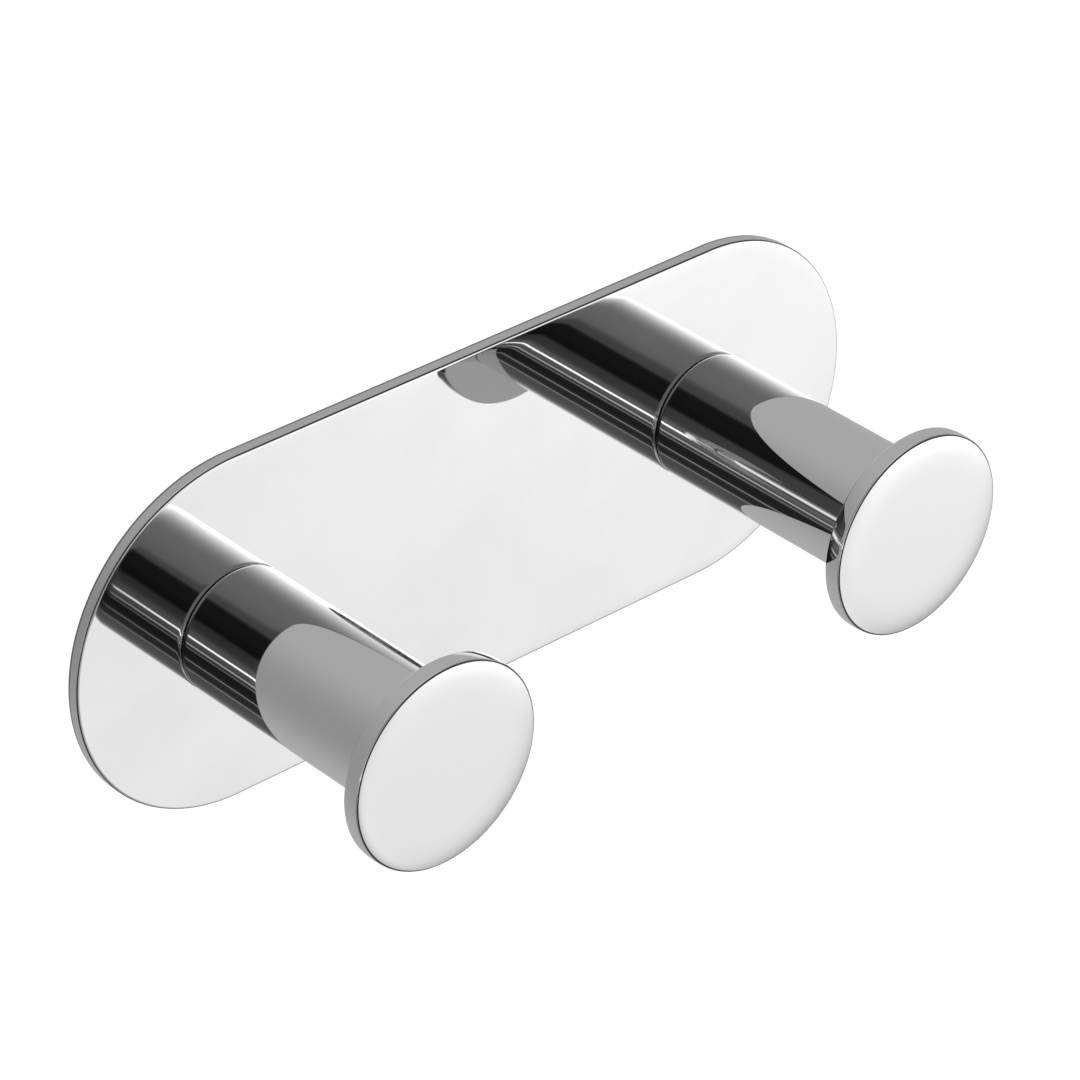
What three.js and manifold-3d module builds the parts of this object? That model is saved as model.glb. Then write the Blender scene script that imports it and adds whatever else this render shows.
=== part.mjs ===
// A double wall hook: a thin round-ended plate, stuck to the wall by foam tape, with two capped pegs.
// Each peg is a tube that one countersunk screw, put in from behind the plate, clamps under its end cap.
// Millimetres, +Z up. The origin is the middle of the face that meets the wall, and the pegs point along -Y.
import * as THREE from "three";
import { mergeVertices } from "three/addons/utils/BufferGeometryUtils.js";
import Module from "manifold-3d";

const wasm = await Module();
wasm.setup();

// Plate
const PLATE_LENGTH = 130;
const PLATE_HEIGHT = 50;
const PLATE_THICKNESS = 2;
const PLATE_EDGE_ROUND = 0.35;

// Mounting tape
const TAPE_THICKNESS = 1.1;
const TAPE_INSET = 3;
const TAPE_HOLE_MARGIN = 2.5;

// Pegs
const PEG_SPACING = 80;
const SLEEVE_DIAMETER = 17.8;
const SLEEVE_WALL = 1.5;
const SLEEVE_LENGTH = 37.3;
const SLEEVE_END_CHAMFER = 0.25;

// End caps
const CAP_DIAMETER = 28.4;
const CAP_RIM = 2.5;
const CAP_RIM_BULGE = 0.1;
const CAP_CROWN = 0.25;
const CAP_CROWN_POWER = 10;
const CAP_EDGE_ROUND = 0.3;
const SPIGOT_LENGTH = 10;
const SPIGOT_CHAMFER = 0.6;

// Centring bushes
const BUSH_LENGTH = 6;
const BUSH_CHAMFER = 0.5;
const BUSH_MOUTH_CHAMFER = 0.3;

// Tie screws, with a head that lies just under the back of the plate
const THREAD_DIAMETER = 4;
const THREAD_ENGAGEMENT = 6;
const THREAD_RUNOUT = 1.5;
const SCREW_TIP_CHAMFER = 0.5;
const HEAD_DIAMETER = 7.5;
const HEAD_LAND = 0.1;
const HEAD_SINK = 0.05;
const SOCKET_ACROSS_FLATS = 2.5;
const SOCKET_DEPTH = 1.6;

// Clearances on the radius
const SLIP_CLEARANCE = 0.15;
const THREAD_CLEARANCE = 0.15;
const SCREW_HOLE_CLEARANCE = 0.3;
const HEAD_CLEARANCE = 0.2;

// Facets
const ROUND_SEGMENTS = 48;
const SCREW_SEGMENTS = 24;
const PLATE_END_SEGMENTS = 24;
const EDGE_STEPS = 2;
const CROWN_STEPS = 4;
const CUTTER_OVERRUN = 1;

// Sizes that follow from those above
const sleeveRadius = SLEEVE_DIAMETER / 2;
const boreRadius = sleeveRadius - SLEEVE_WALL;
const fittedRadius = boreRadius - SLIP_CLEARANCE;
const threadRadius = THREAD_DIAMETER / 2;
const screwHoleRadius = threadRadius + SCREW_HOLE_CLEARANCE;
const headRadius = HEAD_DIAMETER / 2;
const plateFront = -(TAPE_THICKNESS + PLATE_THICKNESS);

// Reaches along a peg, counted out from the front of the plate
const headTop = HEAD_SINK - PLATE_THICKNESS;
const headShoulder = headTop + HEAD_LAND;
const spigotStart = SLEEVE_LENGTH - SPIGOT_LENGTH;
const screwTip = spigotStart + THREAD_ENGAGEMENT;
const tappedEnd = screwTip + THREAD_RUNOUT;

const polishedSteel = new THREE.MeshStandardMaterial({ color: 0xdcdedf, roughness: 0.06, metalness: 1 });
const screwSteel = new THREE.MeshStandardMaterial({ color: 0xb2b4b6, roughness: 0.35, metalness: 1 });
const bushNylon = new THREE.MeshStandardMaterial({ color: 0xe6e3da, roughness: 0.55, metalness: 0 });
const tapeFoam = new THREE.MeshStandardMaterial({ color: 0x6f7275, roughness: 0.9, metalness: 0 });

// The solid inside a closed geometry, for joining and cutting.
function solidFrom(geometry) {
  const bare = geometry.clone();
  bare.deleteAttribute("normal");
  bare.deleteAttribute("uv");
  const merged = mergeVertices(bare);
  return new wasm.Manifold(
    new wasm.Mesh({
      numProp: 3,
      vertProperties: merged.attributes.position.array,
      triVerts: new Uint32Array(merged.index.array),
    }),
  );
}

function geometryFrom(solid) {
  const mesh = solid.getMesh();
  const geometry = new THREE.BufferGeometry();
  geometry.setAttribute("position", new THREE.BufferAttribute(mesh.vertProperties, 3));
  geometry.setIndex(new THREE.BufferAttribute(mesh.triVerts, 1));
  geometry.computeVertexNormals();
  return geometry;
}

function cut(geometry, cutters) {
  const solid = cutters.reduce((left, cutter) => left.subtract(solidFrom(cutter)), solidFrom(geometry));
  return geometryFrom(solid);
}

// A round piece about the peg's axis, from [radius, reach] points that run from the wall side outwards.
function turned(profile, segments = ROUND_SEGMENTS) {
  const points = profile.map(([radius, reach]) => new THREE.Vector2(radius, -reach));
  return new THREE.LatheGeometry(points.reverse(), segments);
}

function stadium(length, height) {
  const radius = height / 2;
  const endCentre = length / 2 - radius;
  const outline = new THREE.Shape();
  outline.absarc(endCentre, 0, radius, -Math.PI / 2, Math.PI / 2);
  outline.absarc(-endCentre, 0, radius, Math.PI / 2, 1.5 * Math.PI);
  return outline;
}

function named(name, geometry, material) {
  const mesh = new THREE.Mesh(geometry, material);
  mesh.name = name;
  return mesh;
}

// The hole for one tie screw: the head's cone with its clearance, then a plain hole through the front.
function countersinkCutter() {
  const wideRadius = headRadius + HEAD_CLEARANCE;
  const coneEnd = headShoulder + wideRadius - screwHoleRadius;
  return turned(
    [
      [0, headTop - CUTTER_OVERRUN],
      [wideRadius, headTop - CUTTER_OVERRUN],
      [wideRadius, headShoulder],
      [screwHoleRadius, coneEnd],
      [screwHoleRadius, Math.max(coneEnd, 0) + CUTTER_OVERRUN],
      [0, Math.max(coneEnd, 0) + CUTTER_OVERRUN],
    ],
    SCREW_SEGMENTS,
  );
}

function backPlate(pegCentres) {
  const blank = new THREE.ExtrudeGeometry(stadium(PLATE_LENGTH, PLATE_HEIGHT), {
    depth: PLATE_THICKNESS - 2 * PLATE_EDGE_ROUND,
    curveSegments: PLATE_END_SEGMENTS,
    bevelThickness: PLATE_EDGE_ROUND,
    bevelSize: PLATE_EDGE_ROUND,
    bevelOffset: -PLATE_EDGE_ROUND,
    bevelSegments: EDGE_STEPS,
  });
  // The extrusion is turned to stand upright with its front face at a reach of 0.
  blank.rotateX(Math.PI / 2);
  blank.translate(0, PLATE_THICKNESS - PLATE_EDGE_ROUND, 0);
  const holes = pegCentres.map((x) => countersinkCutter().translate(x, 0, 0));
  return cut(blank, holes);
}

function mountingTape(pegCentres) {
  const outline = stadium(PLATE_LENGTH - 2 * TAPE_INSET, PLATE_HEIGHT - 2 * TAPE_INSET);
  const holeRadius = headRadius + TAPE_HOLE_MARGIN;
  outline.holes = pegCentres.map((x) => new THREE.Path().absarc(x, 0, holeRadius, 0, 2 * Math.PI, true));
  return new THREE.ExtrudeGeometry(outline, {
    depth: TAPE_THICKNESS,
    curveSegments: PLATE_END_SEGMENTS,
    bevelEnabled: false,
  });
}

function sleeve() {
  const endRadius = sleeveRadius - SLEEVE_END_CHAMFER;
  const foot = [endRadius, 0];
  return turned([
    foot,
    [sleeveRadius, SLEEVE_END_CHAMFER],
    [sleeveRadius, SLEEVE_LENGTH - SLEEVE_END_CHAMFER],
    [endRadius, SLEEVE_LENGTH],
    [boreRadius, SLEEVE_LENGTH],
    [boreRadius, 0],
    foot,
  ]);
}

// The disc's bulging rim, its rounded edge, and its crown, which falls away only near the edge.
function capFront() {
  const rimRadius = CAP_DIAMETER / 2 - CAP_RIM_BULGE;
  const flatRadius = rimRadius - CAP_EDGE_ROUND;
  const edge = SLEEVE_LENGTH + CAP_RIM;
  const points = [
    [rimRadius, SLEEVE_LENGTH],
    [CAP_DIAMETER / 2, SLEEVE_LENGTH + CAP_RIM / 2],
  ];
  for (let step = 0; step < EDGE_STEPS; step++) {
    const turn = (step / EDGE_STEPS) * (Math.PI / 2);
    const radius = flatRadius + CAP_EDGE_ROUND * Math.cos(turn);
    points.push([radius, edge - CAP_EDGE_ROUND + CAP_EDGE_ROUND * Math.sin(turn)]);
  }
  for (let step = 0; step <= CROWN_STEPS; step++) {
    const share = 1 - (step / CROWN_STEPS) ** 2;
    points.push([flatRadius * share, edge + CAP_CROWN * (1 - share ** CAP_CROWN_POWER)]);
  }
  return points;
}

function endCap() {
  const tappedRadius = threadRadius + THREAD_CLEARANCE;
  return turned([
    [0, tappedEnd],
    [tappedRadius, tappedEnd],
    [tappedRadius, spigotStart],
    [fittedRadius - SPIGOT_CHAMFER, spigotStart],
    [fittedRadius, spigotStart + SPIGOT_CHAMFER],
    [fittedRadius, SLEEVE_LENGTH],
    ...capFront(),
  ]);
}

// The bush's mouth also clears whatever part of the screw's cone a thin plate lets through.
function centringBush() {
  const coneAtPlateFront = headRadius + HEAD_CLEARANCE + headShoulder;
  const mouthRadius = Math.max(screwHoleRadius, coneAtPlateFront) + BUSH_MOUTH_CHAMFER;
  const mouth = [mouthRadius, 0];
  return turned([
    mouth,
    [fittedRadius - BUSH_CHAMFER, 0],
    [fittedRadius, BUSH_CHAMFER],
    [fittedRadius, BUSH_LENGTH - BUSH_CHAMFER],
    [fittedRadius - BUSH_CHAMFER, BUSH_LENGTH],
    [screwHoleRadius, BUSH_LENGTH],
    [screwHoleRadius, mouthRadius - screwHoleRadius],
    mouth,
  ]);
}

function tieScrew() {
  const blank = turned(
    [
      [0, headTop],
      [headRadius, headTop],
      [headRadius, headShoulder],
      [threadRadius, headShoulder + headRadius - threadRadius],
      [threadRadius, screwTip - SCREW_TIP_CHAMFER],
      [threadRadius - SCREW_TIP_CHAMFER, screwTip],
      [0, screwTip],
    ],
    SCREW_SEGMENTS,
  );
  const acrossCorners = SOCKET_ACROSS_FLATS / Math.cos(Math.PI / 6);
  const socketLength = SOCKET_DEPTH + CUTTER_OVERRUN;
  const socket = new THREE.CylinderGeometry(acrossCorners / 2, acrossCorners / 2, socketLength, 6);
  socket.translate(0, socketLength / 2 - headTop - SOCKET_DEPTH, 0);
  return cut(blank, [socket]);
}

function peg(side, x) {
  const group = new THREE.Group();
  group.position.set(x, plateFront, 0);
  group.add(named(`${side}_sleeve`, sleeve(), polishedSteel));
  group.add(named(`${side}_end_cap`, endCap(), polishedSteel));
  group.add(named(`${side}_centring_bush`, centringBush(), bushNylon));
  group.add(named(`${side}_tie_screw`, tieScrew(), screwSteel));
  return group;
}

const pegSides = { left: -PEG_SPACING / 2, right: PEG_SPACING / 2 };
const pegCentres = Object.values(pegSides);

const plate = named("back_plate", backPlate(pegCentres), polishedSteel);
plate.position.y = plateFront;

const tape = named("mounting_tape", mountingTape(pegCentres), tapeFoam);
tape.rotation.x = Math.PI / 2;

const doubleHook = new THREE.Group();
doubleHook.add(plate, tape);
for (const [side, x] of Object.entries(pegSides)) {
  doubleHook.add(peg(side, x));
}

export default doubleHook;
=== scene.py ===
"""A double wall hook: a polished round-ended plate with two capped pegs, held to the wall by foam tape.

Lengths are in metres. The wall is the plane y = 0, +Z is up, and the pegs point along -Y.
"""
import logging
import math
from abc import ABC, abstractmethod
from collections.abc import Sequence
from dataclasses import dataclass, replace
from enum import Enum
from functools import cache

import bmesh
import bpy
from mathutils import Matrix, Vector


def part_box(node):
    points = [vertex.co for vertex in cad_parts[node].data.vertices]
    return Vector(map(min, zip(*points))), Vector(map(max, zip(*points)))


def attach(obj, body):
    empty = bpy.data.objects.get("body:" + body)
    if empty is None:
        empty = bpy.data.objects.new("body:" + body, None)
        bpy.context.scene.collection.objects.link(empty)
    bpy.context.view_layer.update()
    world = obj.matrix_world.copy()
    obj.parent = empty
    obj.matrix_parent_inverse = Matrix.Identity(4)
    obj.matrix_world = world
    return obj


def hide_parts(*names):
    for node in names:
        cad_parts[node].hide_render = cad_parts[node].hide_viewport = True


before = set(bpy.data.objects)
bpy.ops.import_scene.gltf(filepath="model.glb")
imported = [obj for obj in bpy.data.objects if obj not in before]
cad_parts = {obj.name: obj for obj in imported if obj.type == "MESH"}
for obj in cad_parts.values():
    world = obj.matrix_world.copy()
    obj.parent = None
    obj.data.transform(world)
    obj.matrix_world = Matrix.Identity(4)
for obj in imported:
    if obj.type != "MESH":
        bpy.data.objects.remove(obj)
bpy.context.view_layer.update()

log = logging.getLogger("double_hook")

MM = 0.001
BODY = "root"

MERGE_GAP = 0.0005 * MM
FLAT_GAP = 0.001 * MM
SHARP_ANGLE = math.radians(35)
CORNER_STEPS = 5
SUPPORT_SHARE = 1.3
ROUND_STEPS = 160
SMALL_ROUND_STEPS = 48
END_STEPS = 96

HAZE_RANGE = (0.35, 0.7)
GRAIN_RANGE = (0.3, 0.7)
# Shares of the width over which the painted dark edge reflection fades out.
PAINTED_EDGE_FADE = (0.6, 1.5)

ALONG_PEG = Vector((0, 1, 0))
ALONG_PLATE = Vector((1, 0, 0))

# The inputs and the output of a mixing node that belong to colours.
MIX_FIRST = 6
MIX_SECOND = 7
MIX_COLOUR = 2

Point = tuple[float, float]
Tone = tuple[float, float, float, float]
Material = bpy.types.Material
NodeTree = bpy.types.NodeTree
Piece = bpy.types.Object
Socket = bpy.types.NodeSocket
Setting = Socket | float | tuple[float, ...] | Vector


class Side(Enum):
    """Which of the two pegs a piece belongs to, seen from the front."""

    LEFT = "left"
    RIGHT = "right"


class PlateFace(Enum):
    """The plate's surfaces, by the number of their finish."""

    FRONT = 0
    BACK = 1
    EDGE = 2


class CardEffect(Enum):
    """What a card does to the room that the polished faces mirror. Fill shows in first reflections only."""

    LIGHT = "light"
    FILL = "fill"
    FLAG = "flag"


@dataclass(frozen=True)
class Span:
    """The box that one node of the frame fills."""

    low: Vector
    high: Vector

    @classmethod
    def of(cls, node: str) -> "Span":
        """Reads a node's box from the frame."""
        return cls(*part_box(node))

    @property
    def front(self) -> float:
        """The place along Y of the face that looks into the room."""
        return self.low.y

    @property
    def back(self) -> float:
        """The place along Y of the face that looks at the wall."""
        return self.high.y

    @property
    def radius(self) -> float:
        """Half of the height, which is the radius of a round piece or a round end."""
        return (self.high.z - self.low.z) / 2

    @property
    def axis_x(self) -> float:
        """The place along X of a round piece's axis."""
        return (self.high.x + self.low.x) / 2

    @property
    def end_centre(self) -> float:
        """The place along X of the centre of the right-hand round end."""
        return self.high.x - self.radius


class Workpiece:
    """A mesh in the making: sections are drawn as edges, then turned or swept into walls.

    A section stands above a centre on the X axis. Each of its points is a distance out from that centre,
    measured along +Z, and a place along Y.
    """

    def __init__(self, centre_x: float) -> None:
        """Starts with an empty mesh and the place of the centre along X."""
        self.mesh = bmesh.new()
        self.centre_x = centre_x

    def place(self, point: Point) -> Vector:
        """Gives the place of a section point in the frame."""
        return Vector((self.centre_x, point[1], point[0]))

    def chain(self, points: Sequence[Point]) -> None:
        """Draws straight edges from point to point.

        Args:
            points: the section's corners in order.
        """
        corners = [self.mesh.verts.new(self.place(point)) for point in points]
        for corner, follower in zip(corners, corners[1:]):
            self.mesh.edges.new((corner, follower))

    def arc(self, start: Point, centre: Point, angle: float, steps: int) -> None:
        """Draws an arc by spinning one section point in the section's own plane.

        Args:
            start: where the arc begins.
            centre: the point it goes round.
            angle: how far it turns about +X.
            steps: how many edges it has.
        """
        tip = self.mesh.verts.new(self.place(start))
        bmesh.ops.spin(
            self.mesh, geom=[tip], cent=self.place(centre), axis=ALONG_PLATE, dvec=(0, 0, 0),
            angle=angle, steps=steps, use_merge=False, use_duplicate=False,
        )

    def round_corner(self, point: Point, width: float) -> None:
        """Rounds one corner of the section, with a support point close behind the rounding on each side.

        Args:
            point: the corner.
            width: how far the rounding reaches along both edges.
        """
        target = self.place(point)
        corner = min(self.loose_corners(), key=lambda vert: (vert.co - target).length)
        for edge in list(corner.link_edges):
            share = SUPPORT_SHARE * width / edge.calc_length()
            if share < 1:
                bmesh.utils.edge_split(edge, corner, share)
        bmesh.ops.bevel(
            self.mesh, geom=[corner], offset=width, offset_type="OFFSET", segments=CORNER_STEPS,
            profile=0.5, affect="VERTICES", material=-1,
        )

    def loose_corners(self) -> list[bmesh.types.BMVert]:
        """Lists the points of the section that is being drawn."""
        return [vert for vert in self.mesh.verts if vert.is_wire]

    def loose_edges(self) -> list[bmesh.types.BMEdge]:
        """Lists the edges of the section that is being drawn."""
        return [edge for edge in self.mesh.edges if edge.is_wire]

    def weld(self) -> None:
        """Merges points that lie on each other."""
        bmesh.ops.remove_doubles(self.mesh, verts=self.mesh.verts[:], dist=MERGE_GAP)

    def turn(self, steps: int) -> None:
        """Turns the section right round its centre in a number of steps, as on a lathe."""
        bmesh.ops.spin(
            self.mesh, geom=self.loose_corners() + self.loose_edges(), cent=(self.centre_x, 0, 0),
            axis=ALONG_PEG, dvec=(0, 0, 0), angle=math.tau, steps=steps,
            use_merge=True, use_duplicate=False,
        )
        self.weld()

    def sweep_round_ended(self) -> None:
        """Sweeps the section half round its centre, along, half round the opposite place and back."""
        section = self.loose_corners() + self.loose_edges()
        for centre_x in (self.centre_x, -self.centre_x):
            turned = bmesh.ops.spin(
                self.mesh, geom=section, cent=(centre_x, 0, 0), axis=ALONG_PEG, dvec=(0, 0, 0),
                angle=math.pi, steps=END_STEPS, use_merge=False, use_duplicate=False,
            )
            last = [part for part in turned["geom_last"] if isinstance(part, bmesh.types.BMEdge)]
            section = self.extrude(last, (-2 * centre_x, 0, 0))
        self.weld()

    def extrude(self, edges: list[bmesh.types.BMEdge], step: tuple[float, float, float]) -> list:
        """Draws walls out from some edges.

        Args:
            edges: the edges to start from.
            step: how far the walls reach.

        Returns:
            The points and edges at the far end of the walls.
        """
        grown = bmesh.ops.extrude_edge_only(self.mesh, edges=edges)["geom"]
        corners = [part for part in grown if isinstance(part, bmesh.types.BMVert)]
        bmesh.ops.translate(self.mesh, verts=corners, vec=step)
        reached = set(corners)
        grown_edges = [part for part in grown if isinstance(part, bmesh.types.BMEdge)]
        return corners + [edge for edge in grown_edges if reached.issuperset(edge.verts)]

    def fill_flat(self, y: float) -> None:
        """Closes the open edges at one place along Y with a flat face that leaves their holes open."""
        edges = [
            edge for edge in self.mesh.edges
            if edge.is_boundary and all(abs(vert.co.y - y) < FLAT_GAP for vert in edge.verts)
        ]
        bmesh.ops.triangle_fill(self.mesh, use_beauty=True, edges=edges, normal=ALONG_PEG)

    def finish(self, name: str, node: str, slot: str, finishes: Sequence[Material]) -> Piece:
        """Closes the mesh and puts it in the place of a node of the frame.

        Args:
            name: the piece's name.
            node: the node that it stands for.
            slot: the record's material slot, which is not used.
            finishes: its materials, in the order of the faces' material numbers.

        Returns:
            The new piece.
        """
        self.weld()
        bmesh.ops.recalc_face_normals(self.mesh, faces=self.mesh.faces[:])
        data = bpy.data.meshes.new(name)
        self.mesh.to_mesh(data)
        self.mesh.free()
        data.shade_smooth()
        data.set_sharp_from_angle(angle=SHARP_ANGLE)
        for finish in finishes:
            data.materials.append(finish)
        piece = bpy.data.objects.new(name, data)
        bpy.context.scene.collection.objects.link(piece)
        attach(piece, BODY)
        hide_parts(node)
        log.info("%s: %d faces", name, len(data.polygons))
        return piece


class NodeBench:
    """Adds nodes to one tree and joins them."""

    def __init__(self, tree: NodeTree) -> None:
        """Takes the tree to work on."""
        self.tree = tree

    def add(self, kind: str, inputs: dict[str | int, Setting], **settings: object) -> bpy.types.Node:
        """Adds one node.

        Args:
            kind: the node's type.
            inputs: a value or another node's socket for each named input.
            settings: the node's own properties.

        Returns:
            The new node.
        """
        node = self.tree.nodes.new(kind)
        for name, value in settings.items():
            setattr(node, name, value)
        for name, value in inputs.items():
            self.feed(node.inputs[name], value)
        return node

    def feed(self, socket: Socket, value: Setting) -> None:
        """Joins a socket to another one, or sets its value.

        Args:
            socket: the socket to feed.
            value: the other socket, or the value.
        """
        if isinstance(value, Socket):
            self.tree.links.new(value, socket)
        else:
            socket.default_value = value

    def math(self, operation: str, first: Setting, second: Setting = 0.0) -> Socket:
        """Gives the result of a sum on numbers."""
        return self.add("ShaderNodeMath", {0: first, 1: second}, operation=operation).outputs[0]

    def dot(self, first: Setting, second: Setting) -> Socket:
        """Gives the dot product of two directions."""
        node = self.add("ShaderNodeVectorMath", {0: first, 1: second}, operation="DOT_PRODUCT")
        return node.outputs["Value"]

    def split(self, vector: Setting) -> Sequence[Socket]:
        """Gives the X, Y and Z of a vector."""
        return self.add("ShaderNodeSeparateXYZ", {"Vector": vector}).outputs[:]

    def distance(self, x: Setting, z: Setting) -> Socket:
        """Gives the distance from the Y axis."""
        flat = self.add("ShaderNodeCombineXYZ", {"X": x, "Z": z}).outputs["Vector"]
        return self.add("ShaderNodeVectorMath", {0: flat}, operation="LENGTH").outputs["Value"]

    def noise(self, vector: Setting, scale: Setting, detail: float, roughness: float) -> Socket:
        """Gives a cloudy pattern between 0 and 1."""
        inputs = {"Vector": vector, "Scale": scale, "Detail": detail, "Roughness": roughness}
        return self.add("ShaderNodeTexNoise", inputs).outputs["Fac"]

    def remap(self, value: Setting, source: Point, target: tuple[Setting, Setting]) -> Socket:
        """Carries a number from one range to another, eased at both ends.

        Args:
            value: the number.
            source: the range that it comes from.
            target: the range that it goes to.

        Returns:
            The carried number.
        """
        inputs = {
            "Value": value, "From Min": source[0], "From Max": source[1],
            "To Min": target[0], "To Max": target[1],
        }
        return self.add("ShaderNodeMapRange", inputs, interpolation_type="SMOOTHSTEP").outputs["Result"]

    def two_tone(self, mask: Socket, first: Setting, second: Setting) -> Socket:
        """Mixes two colours, from the first where the mask is 0 to the second where it is 1."""
        inputs = {"Factor": mask, MIX_FIRST: first, MIX_SECOND: second}
        return self.add("ShaderNodeMix", inputs, data_type="RGBA").outputs[MIX_COLOUR]


class GroupBench(NodeBench):
    """A node bench for a new node group that puts out one number."""

    def __init__(self, name: str, vectors: Sequence[str], numbers: Sequence[str]) -> None:
        """Starts the group.

        Args:
            name: the group's name.
            vectors: the names of its vector inputs.
            numbers: the names of its number inputs.
        """
        super().__init__(bpy.data.node_groups.new(name, "ShaderNodeTree"))
        for kind, labels in (("NodeSocketVector", vectors), ("NodeSocketFloat", numbers)):
            for label in labels:
                self.tree.interface.new_socket(name=label, in_out="INPUT", socket_type=kind)
        self.tree.interface.new_socket(name="Value", in_out="OUTPUT", socket_type="NodeSocketFloat")
        self.given = self.add("NodeGroupInput", {}).outputs

    def close(self, value: Socket) -> NodeTree:
        """Puts out a number and gives the finished group."""
        self.add("NodeGroupOutput", {"Value": value})
        return self.tree


@cache
def ripple_group() -> NodeTree:
    """Builds the faint waviness of a skin.

    Returns:
        The group, which puts out a height from 0 to 1.
    """
    bench = GroupBench("polishing_ripple", ["Vector"], ["Scale"])
    waves = bench.noise(bench.given["Vector"], bench.given["Scale"], detail=1.0, roughness=0.4)
    return bench.close(waves)


@cache
def haze_group() -> NodeTree:
    """Builds the drift between cleaner and hazier areas.

    Returns:
        The group, which puts out a number between the limits Clean and Hazy.
    """
    bench = GroupBench("handling_haze", ["Vector"], ["Scale", "Clean", "Hazy"])
    given = bench.given
    clouds = bench.noise(given["Vector"], given["Scale"], detail=4.0, roughness=0.6)
    return bench.close(bench.remap(clouds, HAZE_RANGE, (given["Clean"], given["Hazy"])))


@cache
def grain_group() -> NodeTree:
    """Builds fine lines that run along X of the given vector.

    Returns:
        The group, which puts out a mask from 0 to 1.
    """
    bench = GroupBench("grain_lines", ["Vector"], ["Scale", "Stretch"])
    given = bench.given
    x, y, z = bench.split(given["Vector"])
    along = bench.math("DIVIDE", x, given["Stretch"])
    drawn_out = bench.add("ShaderNodeCombineXYZ", {"X": along, "Y": y, "Z": z})
    lines = bench.noise(drawn_out.outputs["Vector"], given["Scale"], detail=3.0, roughness=0.65)
    return bench.close(bench.remap(lines, GRAIN_RANGE, (0.0, 1.0)))


@cache
def painted_dark_edge_group() -> NodeTree:
    """Builds the mask of a painted dark reflection: a dark line along a rounded front edge.

    Straight is half the length between two round ends. Out and Forward say which way the middle of the
    line faces, Reach how far along that way it lies, and Width how far short of it the line ends.

    Returns:
        The group, which puts out a mask from 0 to 1.
    """
    bench = GroupBench("painted_dark_edge_reflection", ["Vector"], ["Straight", "Out", "Forward", "Reach", "Width"])
    given = bench.given
    x, y, z = bench.split(given["Vector"])
    over = bench.math("SUBTRACT", bench.math("ABSOLUTE", x), given["Straight"])
    out = bench.distance(bench.math("MAXIMUM", over, 0.0), z)
    sideways = bench.math("MULTIPLY", out, given["Out"])
    backward = bench.math("MULTIPLY", y, given["Forward"])
    short = bench.math("SUBTRACT", given["Reach"], bench.math("SUBTRACT", sideways, backward))
    share = bench.math("DIVIDE", short, given["Width"])
    return bench.close(bench.remap(share, PAINTED_EDGE_FADE, (1.0, 0.0)))


@cache
def card_group() -> NodeTree:
    """Builds the group that says how far a direction lies on a soft card.

    Returns:
        The group, which puts out a number from 0 to 1.
    """
    vectors = ["Direction", "Aim", "Across", "Along"]
    bench = GroupBench("soft_card", vectors, ["Width", "Height", "Edge"])
    given = bench.given
    depth = bench.dot(given["Direction"], given["Aim"])
    fall = 0.0
    for axis, size in (("Across", "Width"), ("Along", "Height")):
        offset = bench.math("DIVIDE", bench.dot(given["Direction"], given[axis]), depth)
        share = bench.math("DIVIDE", offset, given[size])
        reach = bench.math("POWER", bench.math("MULTIPLY", share, share), given["Edge"])
        fall = bench.math("ADD", fall, reach)
    soft = bench.math("EXPONENT", bench.math("MULTIPLY", fall, -1.0))
    facing = bench.math("GREATER_THAN", depth, 0.0)
    return bench.close(bench.math("MULTIPLY", soft, facing))


class FinishBench(NodeBench):
    """A node bench for one finish, with the coordinates that its patterns lie on."""

    def __init__(self, material: Material, centre_x: float) -> None:
        """Starts on a new material.

        Args:
            material: the material.
            centre_x: the place along X that the patterns are centred on.
        """
        material.use_nodes = True
        super().__init__(material.node_tree)
        object_places = self.add("ShaderNodeTexCoord", {}).outputs["Object"]
        moved = {"Vector": object_places, "Location": (-centre_x, 0.0, 0.0)}
        self.places = self.add("ShaderNodeMapping", moved).outputs["Vector"]

    def effect(self, group: NodeTree, **inputs: Setting) -> Socket:
        """Places a shared effect and gives the number that it puts out."""
        return self.add("ShaderNodeGroup", {"Vector": self.places, **inputs}, node_tree=group).outputs[0]


def grey(level: float) -> Tone:
    """Gives a neutral colour."""
    return (level, level, level, 1.0)


@dataclass(frozen=True)
class PaintedDarkEdge:
    """A painted dark reflection: a dark line along a rounded front edge, between the face and the side of a
    piece.

    The centre of the rounding is a point of the piece's section. The lean is the angle from the front to
    the middle of the line, and the half angle goes from there to its ends. Straight is half the length
    between two round ends.
    """

    centre: Point
    rounding: float
    lean: float
    half_angle: float
    straight: float = 0.0
    # The colour of the painted dark reflection.
    tone: Tone = grey(0.06)

    def draw(self, bench: FinishBench, colour: Socket) -> Socket:
        """Paints the dark reflection line over a colour.

        Args:
            bench: the finish's node bench.
            colour: the colour under the line.

        Returns:
            The colour with the line.
        """
        out, forward = math.sin(self.lean), math.cos(self.lean)
        # Mask of the painted dark reflection along the rounded edge.
        mask = bench.effect(
            painted_dark_edge_group(), Straight=self.straight, Out=out, Forward=forward,
            Reach=self.centre[0] * out - self.centre[1] * forward + self.rounding,
            Width=self.rounding * (1 - math.cos(self.half_angle)),
        )
        return bench.two_tone(mask, colour, self.tone)


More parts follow.
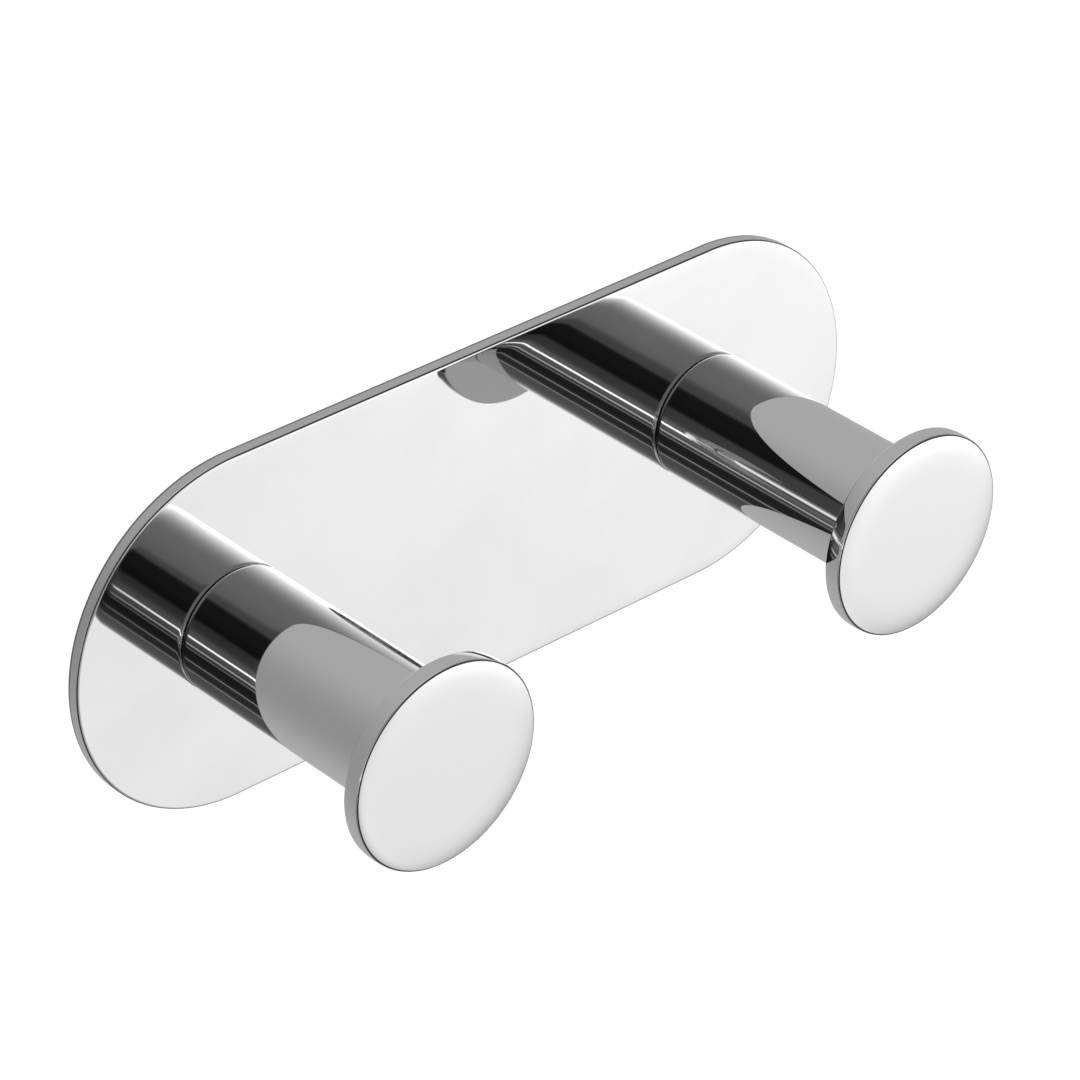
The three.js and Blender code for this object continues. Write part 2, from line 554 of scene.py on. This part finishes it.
@dataclass(frozen=True)
class Finish(ABC):
    """A finish: a relief of some pattern, two tones, and a roughness that drifts from clean to hazy areas.

    The first tone shows where the finish's mask is 0, and the second where it is 1.
    """

    name: str
    tones: tuple[Tone, Tone]
    scale: float
    depth: float
    clean: float
    hazy: float = 1.0
    haze_scale: float = 1.0
    stretch: float = 1.0
    metallic: float = 0.0

    @abstractmethod
    def height(self, bench: FinishBench) -> Socket:
        """Gives the height of the relief, from 0 to 1."""

    def mask(self, bench: FinishBench, height: Socket) -> Socket:
        """Gives the drift from clean to hazy areas, whatever the relief's height."""
        return bench.effect(haze_group(), Scale=self.haze_scale, Clean=0.0, Hazy=1.0)

    def roughness(self, bench: FinishBench) -> Setting:
        """Gives a roughness that drifts from clean to hazy areas."""
        return bench.effect(haze_group(), Scale=self.haze_scale, Clean=self.clean, Hazy=self.hazy)

    @cache
    def dress(self, centre_x: float = 0.0, line: PaintedDarkEdge | None = None) -> Material:
        """Makes the material, once for each centre and line.

        Args:
            centre_x: the place along X that its patterns are centred on.
            line: the painted dark reflection line along a rounded edge, if there is one.

        Returns:
            The material.
        """
        material = bpy.data.materials.new(self.name)
        bench = FinishBench(material, centre_x)
        height = self.height(bench)
        colour = bench.two_tone(self.mask(bench, height), *self.tones)
        relief = bench.add("ShaderNodeBump", {"Height": height, "Distance": self.depth, "Strength": 1.0})
        inputs = material.node_tree.nodes["Principled BSDF"].inputs
        # Paints the dark edge reflection over the colour, where there is one.
        bench.feed(inputs["Base Color"], line.draw(bench, colour) if line else colour)
        bench.feed(inputs["Metallic"], self.metallic)
        bench.feed(inputs["Roughness"], self.roughness(bench))
        bench.feed(inputs["Normal"], relief.outputs["Normal"])
        return material


@dataclass(frozen=True)
class RippledFinish(Finish):
    """A smooth skin with faint waves in it."""

    def height(self, bench: FinishBench) -> Socket:
        """Gives the waves."""
        return bench.effect(ripple_group(), Scale=self.scale)


@dataclass(frozen=True)
class WallShadedEdgeFinish(RippledFinish):
    """A cut edge with painted shade that darkens it between two places along Y, towards the wall."""

    # The range along Y over which the painted shade fades in towards the wall.
    dull: Point = (0.0, 1.0)

    def mask(self, bench: FinishBench, height: Socket) -> Socket:
        """Gives 1 on the room's side of the edge and 0 along the wall, where the painted shade lies,
        whatever the waves' height.
        """
        _, y, _ = bench.split(bench.places)
        return bench.remap(y, self.dull, (1.0, 0.0))


@dataclass(frozen=True)
class GrainedFinish(Finish):
    """Fine lines along X, with tones that follow them."""

    def course(self, bench: FinishBench) -> Socket:
        """Gives the coordinates that the lines run along X of."""
        return bench.places

    def height(self, bench: FinishBench) -> Socket:
        """Gives the lines."""
        course = self.course(bench)
        return bench.effect(grain_group(), Vector=course, Scale=self.scale, Stretch=self.stretch)

    def mask(self, bench: FinishBench, height: Socket) -> Socket:
        """Gives the relief's own height."""
        return height


@dataclass(frozen=True)
class TurnedFinish(GrainedFinish):
    """Fine rings round the Y axis, as turning and polishing leave them."""

    def course(self, bench: FinishBench) -> Socket:
        """Gives the coordinates of the rings.

        Args:
            bench: the finish's node bench.

        Returns:
            The place along Y and the distance from the axis.
        """
        x, y, z = bench.split(bench.places)
        rings = bench.add("ShaderNodeCombineXYZ", {"Y": y, "Z": bench.distance(x, z)})
        return rings.outputs["Vector"]


@dataclass(frozen=True)
class FoamFinish(GrainedFinish):
    """The cells of cut foam, darker at their middles, all as rough as a clean area."""

    cell_range: Point = (0.0, 0.7)

    def roughness(self, bench: FinishBench) -> Setting:
        """Gives the one roughness."""
        return self.clean

    def height(self, bench: FinishBench) -> Socket:
        """Gives the cells."""
        cells = bench.add("ShaderNodeTexVoronoi", {"Vector": bench.places, "Scale": self.scale})
        return bench.remap(cells.outputs["Distance"], self.cell_range, (0.0, 1.0))


POLISHED_SHEET = RippledFinish(
    "polished_sheet_steel", (grey(0.82), grey(0.78)), clean=0.012, hazy=0.035, haze_scale=45.0,
    scale=160.0, depth=0.003 * MM, metallic=1.0,
)
POLISHED_TURNING = TurnedFinish(
    "polished_turned_steel", (grey(0.797), grey(0.803)), clean=0.012, hazy=0.03, haze_scale=70.0,
    scale=2200.0, depth=0.00001 * MM, stretch=40.0, metallic=1.0,
)
MILL_SHEET = GrainedFinish(
    "mill_finish_steel", (grey(0.46), (0.62, 0.62, 0.61, 1.0)), clean=0.26, hazy=0.42, haze_scale=90.0,
    scale=3500.0, depth=0.002 * MM, stretch=60.0, metallic=1.0,
)
# The first tone is painted shade along the wall; the second is the cut edge's own tone.
WALL_SHADED_EDGE = WallShadedEdgeFinish(
    "cut_edge_painted_wall_shade", (grey(0.2), grey(0.72)), clean=0.1, hazy=0.16, haze_scale=200.0,
    scale=500.0, depth=0.003 * MM, metallic=1.0,
)
SCREW_STEEL = GrainedFinish(
    "plain_screw_steel", (grey(0.34), grey(0.5)), clean=0.28, hazy=0.45, haze_scale=600.0,
    scale=4000.0, depth=0.004 * MM, stretch=3.0, metallic=1.0,
)
NATURAL_NYLON = RippledFinish(
    "natural_nylon", ((0.7, 0.67, 0.59, 1.0), (0.8, 0.78, 0.71, 1.0)), clean=0.4, hazy=0.55,
    haze_scale=300.0, scale=2500.0, depth=0.004 * MM,
)
GREY_FOAM = FoamFinish(
    "grey_acrylic_foam", ((0.1, 0.105, 0.11, 1.0), (0.2, 0.21, 0.22, 1.0)), clean=0.85,
    scale=5000.0, depth=0.08 * MM,
)
TACKY_FACE = RippledFinish(
    "tacky_tape_face", ((0.155, 0.162, 0.17, 1.0), (0.18, 0.19, 0.2, 1.0)), clean=0.3, hazy=0.5,
    haze_scale=120.0, scale=1800.0, depth=0.015 * MM,
)


@dataclass(frozen=True)
class BackPlate:
    """The round-ended plate, with a countersunk hole behind each peg."""

    span: Span
    edge_round: float = 0.35 * MM
    # Where the painted dark reflection lies on the plate's rounded front edge.
    painted_edge_lean: float = math.radians(47)
    painted_edge_half_angle: float = math.radians(14)
    edge_roll: float = 1.6 * MM
    edge_roll_angle: float = math.radians(2)
    edge_roll_steps: int = 3
    flat_band: float = 2.0 * MM
    front_lean: float = 0.5
    edge_band: float = 0.525 * MM
    # How far from the wall the painted shade on the cut edge is gone and is full.
    wall_shade_start: float = 0.6 * MM
    wall_shade_end: float = 0.35 * MM
    head_radius: float = 3.95 * MM
    head_land: float = 0.15 * MM
    hole_radius: float = 2.3 * MM

    @property
    def roll_radius(self) -> float:
        """The radius on which the face rolls off towards its edge."""
        return self.edge_roll / math.sin(self.edge_roll_angle)

    @property
    def edge_front(self) -> float:
        """The place along Y of the front edge, which lies a little behind the face."""
        return self.span.front + self.roll_radius * (1 - math.cos(self.edge_roll_angle))

    def painted_dark_edge(self) -> PaintedDarkEdge:
        """Gives the painted dark reflection line along the plate's front edge."""
        centre = (self.span.radius - self.edge_round, self.edge_front + self.edge_round)
        return PaintedDarkEdge(centre, self.edge_round, self.painted_edge_lean, self.painted_edge_half_angle, self.span.end_centre)

    def dress(self) -> list[Material]:
        """Makes the plate's finishes, with a painted dark reflection along the front edge and painted shade
        by the wall.

        Returns:
            The materials of its front, its back and its edge, in the order of their numbers.
        """
        line = self.painted_dark_edge()
        back = self.span.back
        # The cut edge gets painted shade next to the wall.
        wall_shaded_edge = replace(WALL_SHADED_EDGE, dull=(back - self.wall_shade_start, back - self.wall_shade_end))
        return [POLISHED_SHEET.dress(line=line), MILL_SHEET.dress(), wall_shaded_edge.dress(line=line)]

    def build(self) -> None:
        """Sweeps the plate's edge, turns its holes and closes its faces."""
        span = self.span
        work = Workpiece(span.end_centre)
        inner = span.radius - self.flat_band
        roll_start = span.radius - self.edge_roll
        work.chain([(inner, span.front), (roll_start, span.front)])
        work.arc(
            (roll_start, span.front), (roll_start, span.front + self.roll_radius),
            -self.edge_roll_angle, self.edge_roll_steps,
        )
        work.chain([(span.radius, self.edge_front), (span.radius, span.back), (inner, span.back)])
        work.weld()
        work.round_corner((span.radius, self.edge_front), self.edge_round)
        work.round_corner((span.radius, span.back), self.edge_round)
        work.sweep_round_ended()
        land = span.back - self.head_land
        throat = land - (self.head_radius - self.hole_radius)
        hole_wall = [
            (self.head_radius, span.back),
            (self.head_radius, land),
            (self.hole_radius, throat),
            (self.hole_radius, span.front),
        ]
        for side in Side:
            work.centre_x = Span.of(f"{side.value}_sleeve").axis_x
            work.chain(hole_wall)
            work.turn(SMALL_ROUND_STEPS)
        work.fill_flat(span.front)
        work.fill_flat(span.back)
        plate = work.finish("polished_back_plate", "back_plate", "polished_steel", self.dress())
        self.part_faces(plate)

    def part_faces(self, plate: Piece) -> None:
        """Gives each face of the plate the finish of its surface.

        Args:
            plate: the finished plate.
        """
        rim = self.span.radius - self.edge_band
        for face in plate.data.polygons:
            over = max(abs(face.center.x) - self.span.end_centre, 0.0)
            surface = PlateFace.EDGE if math.hypot(over, face.center.z) > rim else PlateFace.BACK
            if face.normal.y < -self.front_lean:
                surface = PlateFace.FRONT
            face.material_index = surface.value


@dataclass(frozen=True)
class MountingTape:
    """The foam tape between plate and wall, with a hole round each screw head."""

    span: Span
    hole_radius: float = 6.25 * MM
    edge_bulge: float = 0.14 * MM
    bulge_share: float = 0.35
    flat_band: float = 0.8 * MM
    face_lean: float = 0.9

    def build(self) -> None:
        """Sweeps the tape's bulging edge, turns its holes and closes its faces."""
        span = self.span
        work = Workpiece(span.end_centre)
        self.draw_edge(work, span.radius, -1.0)
        work.sweep_round_ended()
        for side in Side:
            work.centre_x = Span.of(f"{side.value}_sleeve").axis_x
            self.draw_edge(work, self.hole_radius, 1.0)
            work.turn(SMALL_ROUND_STEPS)
        work.fill_flat(span.front)
        work.fill_flat(span.back)
        finishes = [GREY_FOAM.dress(), TACKY_FACE.dress()]
        tape = work.finish("foam_mounting_tape", "mounting_tape", "tape_foam", finishes)
        for face in tape.data.polygons:
            face.material_index = int(abs(face.normal.y) > self.face_lean)

    def draw_edge(self, work: Workpiece, radius: float, inward: float) -> None:
        """Draws a cut edge that swells in the middle of the tape's thickness.

        Args:
            work: the tape's mesh.
            radius: where the swelling is fullest.
            inward: 1 where the foam lies outside that radius, and -1 where it lies inside.
        """
        pinched = radius + inward * self.edge_bulge
        flat = radius + inward * self.flat_band
        middle = (self.span.front + self.span.back) / 2
        work.chain([
            (flat, self.span.front),
            (pinched, self.span.front),
            (radius, middle),
            (pinched, self.span.back),
            (flat, self.span.back),
        ])
        work.round_corner((radius, middle), (self.span.back - self.span.front) * self.bulge_share)


@dataclass(frozen=True)
class CapArcs:
    """The arcs of a cap's side: its bulging rim, then the rounded edge between the rim and the crown."""

    rim_centre: Point
    rim_radius: float
    back_lean: float
    front_lean: float
    edge_centre: Point
    crown_tilt: float


@dataclass(frozen=True)
class Peg:
    """One peg: a tube and its cap, the bush in the tube's foot, and the screw that holds them."""

    side: Side
    tube_wall: float = 1.5 * MM
    tube_roll: float = 1.4 * MM
    tube_roll_angle: float = math.radians(24)
    tube_roll_steps: int = 5
    tube_roll_margin: float = 1.5
    tube_end_gap: float = 0.15 * MM
    tube_end_relief: float = 0.6 * MM
    corner_round: float = 0.05 * MM
    cap_rim: float = 2.5 * MM
    cap_rim_bulge: float = 0.1 * MM
    cap_rim_steps: int = 8
    cap_edge_round: float = 0.3 * MM
    cap_edge_steps: int = 8
    cap_back_round: float = 0.2 * MM
    # Where the painted dark reflection lies on the cap's rounded front edge.
    painted_edge_lean: float = math.radians(28)
    painted_edge_half_angle: float = math.radians(20)
    crown_power: int = 10
    crown_steps: int = 28
    crown_spacing: float = 0.25
    spigot_radius: float = 7.25 * MM
    spigot_chamfer: float = 0.6 * MM
    tapped_radius: float = 2.15 * MM
    tapped_run_out: float = 1.5 * MM
    bush_chamfer: float = 0.5 * MM
    bush_bore: float = 2.3 * MM
    bush_mouth: float = 0.3 * MM
    thread_radius: float = 2.0 * MM
    thread_pitch: float = 0.7 * MM
    thread_depth: float = 0.38 * MM
    thread_length: float = 20.0 * MM
    screw_tip: float = 0.5 * MM
    head_land: float = 0.1 * MM
    socket_flats: float = 2.5 * MM
    socket_depth: float = 1.6 * MM
    socket_mouth: float = 1.9 * MM

    def named(self, piece: str) -> str:
        """Gives the name of a piece or node of this peg."""
        return f"{self.side.value}_{piece}"

    def span(self, node: str) -> Span:
        """Reads the box of one of this peg's nodes."""
        return Span.of(self.named(node))

    @property
    def crown(self) -> float:
        """How far the middle of the cap stands before the edge of its crown."""
        return self.span("sleeve").front - self.cap_rim - self.span("end_cap").front

    def dress(self) -> Material:
        """Gives the polish of this peg's tube and cap, centred on its axis, with a painted dark edge
        reflection.
        """
        polish = replace(POLISHED_TURNING, name=self.named(POLISHED_TURNING.name))
        return polish.dress(self.span("sleeve").axis_x, self.painted_dark_edge())

    def cap_arcs(self) -> CapArcs:
        """Works out the arcs of the cap's side.

        Returns:
            The arcs.
        """
        span = self.span("end_cap")
        half = self.cap_rim / 2
        bulge = (half ** 2 + self.cap_rim_bulge ** 2) / (2 * self.cap_rim_bulge)
        inner = bulge - self.cap_edge_round
        crown_radius = span.radius - self.cap_rim_bulge - self.cap_edge_round
        crown_tilt = math.atan(self.crown_power * self.crown / crown_radius)
        front_lean = math.asin((half - self.cap_edge_round * math.cos(crown_tilt)) / inner)
        rim_centre = (span.radius - bulge, self.span("sleeve").front - half)
        edge_centre = (
            rim_centre[0] + inner * math.cos(front_lean),
            rim_centre[1] - inner * math.sin(front_lean),
        )
        return CapArcs(rim_centre, bulge, math.asin(half / bulge), front_lean, edge_centre, crown_tilt)

    def painted_dark_edge(self) -> PaintedDarkEdge:
        """Gives the painted dark reflection line along the cap's front edge."""
        edge_centre = self.cap_arcs().edge_centre
        return PaintedDarkEdge(edge_centre, self.cap_edge_round, self.painted_edge_lean, self.painted_edge_half_angle)

    def build_sleeve(self) -> None:
        """Turns the tube."""
        span = self.span("sleeve")
        bore = span.radius - self.tube_wall
        reach = self.tube_roll * math.sin(self.tube_roll_angle)
        end_radius = span.radius - self.tube_roll * (1 - math.cos(self.tube_roll_angle))
        work = Workpiece(span.axis_x)
        land = end_radius - self.tube_end_relief
        straight = self.tube_end_gap + self.tube_roll_margin * reach
        for end, inward in ((span.front, 1), (span.back, -1)):
            start = end + inward * (self.tube_end_gap + reach)
            work.arc(
                (span.radius, start), (span.radius - self.tube_roll, start),
                inward * self.tube_roll_angle, self.tube_roll_steps,
            )
            work.chain([(span.radius, start), (span.radius, end + inward * straight)])
            work.chain([(end_radius, end + inward * self.tube_end_gap), (land, end), (bore, end)])
        work.chain([(span.radius, span.front + straight), (span.radius, span.back - straight)])
        work.chain([(bore, span.front), (bore, span.back)])
        work.weld()
        work.round_corner((end_radius, span.front + self.tube_end_gap), self.corner_round)
        work.round_corner((end_radius, span.back - self.tube_end_gap), self.corner_round)
        work.turn(ROUND_STEPS)
        work.finish(self.named("polished_sleeve"), self.named("sleeve"), "polished_steel", [self.dress()])

    def build_cap(self) -> None:
        """Turns the end cap, from its crown over its rim to the tapped spigot."""
        span = self.span("end_cap")
        underside = self.span("sleeve").front
        rim_radius = span.radius - self.cap_rim_bulge
        screw_end = self.span("tie_screw").front - self.tapped_run_out
        work = Workpiece(span.axis_x)
        self.draw_cap_front(work, (rim_radius, underside))
        work.chain([
            (rim_radius, underside),
            (self.spigot_radius, underside),
            (self.spigot_radius, span.back - self.spigot_chamfer),
            (self.spigot_radius - self.spigot_chamfer, span.back),
            (self.tapped_radius, span.back),
            (self.tapped_radius, screw_end),
            (0.0, screw_end),
        ])
        work.weld()
        work.round_corner((rim_radius, underside), self.cap_back_round)
        work.turn(ROUND_STEPS)
        work.finish(self.named("crowned_end_cap"), self.named("end_cap"), "polished_steel", [self.dress()])

    def draw_cap_front(self, work: Workpiece, rim_start: Point) -> None:
        """Draws the bulging rim, the rounded edge and the crown, which falls away only near the edge.

        Args:
            work: the cap's mesh.
            rim_start: the back corner of the rim.
        """
        arcs = self.cap_arcs()
        edge_start = (
            arcs.rim_centre[0] + arcs.rim_radius * math.cos(arcs.front_lean),
            arcs.rim_centre[1] - arcs.rim_radius * math.sin(arcs.front_lean),
        )
        work.arc(rim_start, arcs.rim_centre, arcs.back_lean + arcs.front_lean, self.cap_rim_steps)
        edge_turn = math.pi / 2 - arcs.crown_tilt - arcs.front_lean
        work.arc(edge_start, arcs.edge_centre, edge_turn, self.cap_edge_steps)
        crown_radius = arcs.edge_centre[0] + self.cap_edge_round * math.sin(arcs.crown_tilt)
        top = self.span("end_cap").front
        shares = [(step / self.crown_steps) ** self.crown_spacing for step in range(self.crown_steps + 1)]
        falls = [self.crown * share ** self.crown_power for share in shares]
        work.chain([(crown_radius * share, top + fall) for share, fall in zip(shares, falls)])

    def build_bush(self) -> None:
        """Turns the bush that sits in the foot of the tube."""
        span = self.span("centring_bush")
        mouth = self.bush_bore + self.bush_mouth
        work = Workpiece(span.axis_x)
        work.chain([
            (mouth, span.back),
            (span.radius - self.bush_chamfer, span.back),
            (span.radius, span.back - self.bush_chamfer),
            (span.radius, span.front + self.bush_chamfer),
            (span.radius - self.bush_chamfer, span.front),
            (self.bush_bore, span.front),
            (self.bush_bore, span.back - self.bush_mouth),
            (mouth, span.back),
        ])
        work.turn(SMALL_ROUND_STEPS)
        finishes = [NATURAL_NYLON.dress()]
        work.finish(self.named("nylon_bush"), self.named("centring_bush"), "bush_nylon", finishes)

    def build_screw(self) -> None:
        """Turns the countersunk screw and sinks the socket in its head."""
        span = self.span("tie_screw")
        land = span.back - self.head_land
        neck = land - (span.radius - self.thread_radius)
        work = Workpiece(span.axis_x)
        points = [
            (self.socket_mouth, span.back),
            (span.radius, span.back),
            (span.radius, land),
            (self.thread_radius, neck),
        ]
        turns = int(self.thread_length / self.thread_pitch)
        top = span.front + self.screw_tip + turns * self.thread_pitch
        for turn in range(turns):
            start = top - turn * self.thread_pitch
            points.append((self.thread_radius, start))
            points.append((self.thread_radius - self.thread_depth, start - self.thread_pitch / 2))
        points += [
            (self.thread_radius, span.front + self.screw_tip),
            (self.thread_radius - self.screw_tip, span.front),
            (0.0, span.front),
        ]
        work.chain(points)
        work.turn(SMALL_ROUND_STEPS)
        self.sink_socket(work, span.back)
        finishes = [SCREW_STEEL.dress()]
        work.finish(self.named("socket_screw"), self.named("tie_screw"), "screw_steel", finishes)

    def sink_socket(self, work: Workpiece, top: float) -> None:
        """Draws a hexagon in the top of the head, pushes its walls in and closes both ends of them.

        Args:
            work: the screw's mesh, open at the top of the head.
            top: the place along Y of the top.
        """
        upright = Matrix.Translation((work.centre_x, top, 0)) @ Matrix.Rotation(math.pi / 2, 4, "X")
        corner_radius = self.socket_flats / 2 / math.cos(math.pi / 6)
        bmesh.ops.create_circle(work.mesh, cap_ends=False, radius=corner_radius, segments=6, matrix=upright)
        work.extrude(work.loose_edges(), (0, -self.socket_depth, 0))
        work.fill_flat(top - self.socket_depth)
        work.fill_flat(top)


@dataclass(frozen=True)
class Card:
    """One soft-edged card in the room that the polished faces mirror.

    Its place is an angle from the way the pegs point and a turn about it, from +X towards +Z. Its spreads
    are along the turn and away from the pegs' direction. All of them are in degrees.
    """

    name: str
    effect: CardEffect
    polar: float
    turn: float
    turn_spread: float
    polar_spread: float
    edge: float
    strength: float

    def amount(self, bench: NodeBench, direction: Socket) -> Socket:
        """Works out how much the card does in a direction.

        Args:
            bench: the world's node bench.
            direction: the direction that is looked up.

        Returns:
            The card's strength there.
        """
        polar = math.radians(self.polar)
        turn = math.radians(self.turn)
        level = Vector((math.cos(turn), 0, math.sin(turn)))
        inputs = {
            "Direction": direction,
            "Aim": level * math.sin(polar) - ALONG_PEG * math.cos(polar),
            "Across": Vector((-math.sin(turn), 0, math.cos(turn))),
            "Along": level * math.cos(polar) + ALONG_PEG * math.sin(polar),
            "Width": math.tan(math.radians(self.turn_spread)),
            "Height": math.tan(math.radians(self.polar_spread)),
            "Edge": self.edge,
        }
        weight = bench.add("ShaderNodeGroup", inputs, node_tree=card_group(), label=self.name)
        return bench.math("MULTIPLY", weight.outputs[0], self.strength)


@dataclass(frozen=True)
class SoftLamp:
    """One wide lamp for the dull surfaces and the floor, which the polished faces don't mirror."""

    name: str
    azimuth: float
    elevation: float
    strength: float
    spread: float = 60.0

    def build(self) -> None:
        """Adds the lamp, shining towards the origin."""
        light = bpy.data.lights.new(self.name, "SUN")
        light.energy = self.strength
        light.angle = math.radians(self.spread)
        lamp = bpy.data.objects.new(self.name, light)
        lamp.rotation_euler = (math.radians(90 - self.elevation), 0, math.radians(self.azimuth))
        lamp.visible_glossy = False
        bpy.context.scene.collection.objects.link(lamp)


@dataclass(frozen=True)
class Studio:
    """The white background, the room that the polished faces mirror, the floor and the lamps."""

    cards: tuple[Card, ...]
    lamps: tuple[SoftLamp, ...]
    ambient: float = 0.55
    first_depth: float = 1.5
    front_high: float = 0.185
    front_low: float = 0.098
    front_turnover: float = 0.3
    back: float = 0.47
    side_start: float = 0.05
    side_end: float = 0.35
    floor_height: float = -0.6
    floor_half: float = 40.0
    floor_tone: float = 0.97

    def build(self) -> None:
        """Builds the world, the floor and the lamps."""
        self.build_world()
        self.build_floor()
        for lamp in self.lamps:
            lamp.build()

    def build_world(self) -> None:
        """Gives camera, mirrored and scattered light each their own brightness of the surroundings."""
        world = bpy.data.worlds.new("studio")
        bpy.context.scene.world = world
        world.use_nodes = True
        bench = NodeBench(world.node_tree)
        direction = bench.add("ShaderNodeTexCoord", {}).outputs["Generated"]
        path = bench.add("ShaderNodeLightPath", {})
        first = bench.math("LESS_THAN", path.outputs["Glossy Depth"], self.first_depth)
        mirrored = self.mirrored_room(bench, direction, first)
        seen = bench.math("MAXIMUM", path.outputs["Is Camera Ray"], path.outputs["Is Transmission Ray"])
        dull = bench.add(
            "ShaderNodeMix", {"Factor": path.outputs["Is Glossy Ray"], "A": self.ambient, "B": mirrored}
        )
        level = bench.add("ShaderNodeMix", {"Factor": seen, "A": dull.outputs[0], "B": 1.0})
        background = world.node_tree.nodes["Background"]
        bench.feed(background.inputs["Color"], grey(1.0))
        bench.feed(background.inputs["Strength"], level.outputs[0])

    def mirrored_room(self, bench: NodeBench, direction: Socket, first: Socket) -> Socket:
        """Adds up the room and its cards.

        Args:
            bench: the world's node bench.
            direction: the direction that is looked up.
            first: 1 in a first reflection, and 0 in a reflection of a reflection.

        Returns:
            The brightness in that direction.
        """
        _, y, z = bench.split(direction)
        turnover = (-self.front_turnover, self.front_turnover)
        front = bench.remap(z, turnover, (self.front_low, self.front_high))
        room = bench.remap(y, (self.side_start, self.side_end), (front, self.back))
        for card in sorted(self.cards, key=lambda card: card.effect is not CardEffect.FLAG):
            amount = card.amount(bench, direction)
            if card.effect is CardEffect.FLAG:
                room = bench.math("MULTIPLY", room, bench.math("SUBTRACT", 1.0, amount))
                continue
            if card.effect is CardEffect.FILL:
                amount = bench.math("MULTIPLY", amount, first)
            room = bench.math("ADD", room, amount)
        return room

    def build_floor(self) -> None:
        """Lays a pale floor well below the hook."""
        half = self.floor_half
        corners = [(-half, -half), (half, -half), (half, half), (-half, half)]
        data = bpy.data.meshes.new("floor")
        data.from_pydata([(x, y, self.floor_height) for x, y in corners], [], [range(len(corners))])
        paint = bpy.data.materials.new("pale_floor")
        paint.use_nodes = True
        inputs = paint.node_tree.nodes["Principled BSDF"].inputs
        inputs["Base Color"].default_value = grey(self.floor_tone)
        inputs["Roughness"].default_value = 1.0
        inputs["Specular IOR Level"].default_value = 0.0
        data.materials.append(paint)
        floor = bpy.data.objects.new("floor", data)
        floor.visible_glossy = False
        bpy.context.scene.collection.objects.link(floor)


@dataclass(frozen=True)
class PhotoCamera:
    """The camera, by the point of the plate's face that it looks at and the angles that it looks from."""

    face: float
    aim_x: float = 10.834 * MM
    aim_z: float = -7.714 * MM
    azimuth: float = -42.429
    elevation: float = 32.124
    roll: float = 0.982
    distance: float = 0.69675
    lens: float = 177.79
    sensor: float = 36.0

    def build(self) -> None:
        """Adds the camera and makes it the scene's own."""
        turn = (
            Matrix.Rotation(math.radians(self.azimuth), 4, "Z")
            @ Matrix.Rotation(math.radians(90 - self.elevation), 4, "X")
            @ Matrix.Rotation(math.radians(self.roll), 4, "Z")
        )
        settings = bpy.data.cameras.new("photo_camera")
        settings.lens = self.lens
        settings.sensor_width = self.sensor
        camera = bpy.data.objects.new("photo_camera", settings)
        aim = Matrix.Translation((self.aim_x, self.face, self.aim_z))
        camera.matrix_world = aim @ turn @ Matrix.Translation((0, 0, self.distance))
        bpy.context.scene.collection.objects.link(camera)
        bpy.context.scene.camera = camera


LIGHT, FILL, FLAG = CardEffect
STUDIO_CARDS = (
    Card("key panel", LIGHT, 49, -18, 25, 36, 0.7, 1.7),
    Card("lower panel", LIGHT, 51, -57, 7.5, 20.5, 0.8, 0.4),
    Card("left strip", LIGHT, 62, 187.3, 1.25, 14.6, 6, 1.7),
    Card("strip glow", LIGHT, 62, 187, 8, 14.6, 2, 0.09),
    Card("second strip", LIGHT, 62, 199.6, 0.95, 14.6, 6, 0.5),
    Card("third strip", LIGHT, 62, 206.5, 0.8, 14.6, 6, 0.16),
    Card("fourth strip", LIGHT, 62, 227.8, 0.8, 14.6, 6, 0.27),
    Card("fifth strip", LIGHT, 62, 247.8, 1, 14.6, 6, 0.2),
    Card("floor bounce", LIGHT, 75, 265, 32, 13, 2, 0.45),
    Card("right side panel", LIGHT, 92, 0, 16, 14, 1.5, 0.5),
    Card("left side panel", LIGHT, 92, 184, 16, 14, 1.5, 0.3),
    Card("back panel", LIGHT, 180, 0, 22, 22, 1.5, 0.6),
    Card("front fill", FILL, 6, 20, 7, 7, 1, 0.5),
    Card("left fill", FILL, 48, 195, 34, 28, 1.5, 0.55),
    Card("low fill", FILL, 38, 262, 22, 22, 1.5, 0.35),
    Card("upper left fill", FILL, 48, 135, 28, 26, 1.5, 0.35),
    Card("overhead fill", FILL, 88, 85, 28, 14, 1.5, 0.6),
    Card("wide camera flag", FLAG, 51, 145, 42, 30, 2, 0.25),
    Card("camera side flag", FLAG, 52, 139, 31, 9, 5, 0.48),
    Card("camera flag", FLAG, 52, 138, 15.2, 9, 6, 0.85),
    Card("left edge flag", FLAG, 39, 185, 27, 10.5, 2, 0.7),
    Card("lower left flag", FLAG, 51, 217, 9, 25, 3, 0.74),
    Card("second lower flag", FLAG, 51, 237.5, 6, 25, 3, 0.68),
    Card("low front flag", FLAG, 28, 255, 24, 14, 2, 0.85),
    Card("back left flag", FLAG, 129, 180, 40, 40, 1, 0.28),
)

SOFT_LAMPS = (
    SoftLamp("front lamp", -25.0, 50.0, 1.3),
    SoftLamp("back lamp", 160.0, 45.0, 1.0),
)


def main() -> None:
    """Builds the hook piece by piece, then the studio and the camera round it."""
    logging.basicConfig(level=logging.INFO, format="%(message)s")
    bpy.context.scene.view_settings.view_transform = "Standard"
    log.info("frame: %d nodes", len(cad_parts))
    plate = BackPlate(Span.of("back_plate"))
    plate.build()
    MountingTape(Span.of("mounting_tape")).build()
    for side in Side:
        peg = Peg(side)
        peg.build_sleeve()
        peg.build_cap()
        peg.build_bush()
        peg.build_screw()
    Studio(STUDIO_CARDS, SOFT_LAMPS).build()
    PhotoCamera(plate.span.front).build()


if __name__ == "__main__":
    main()
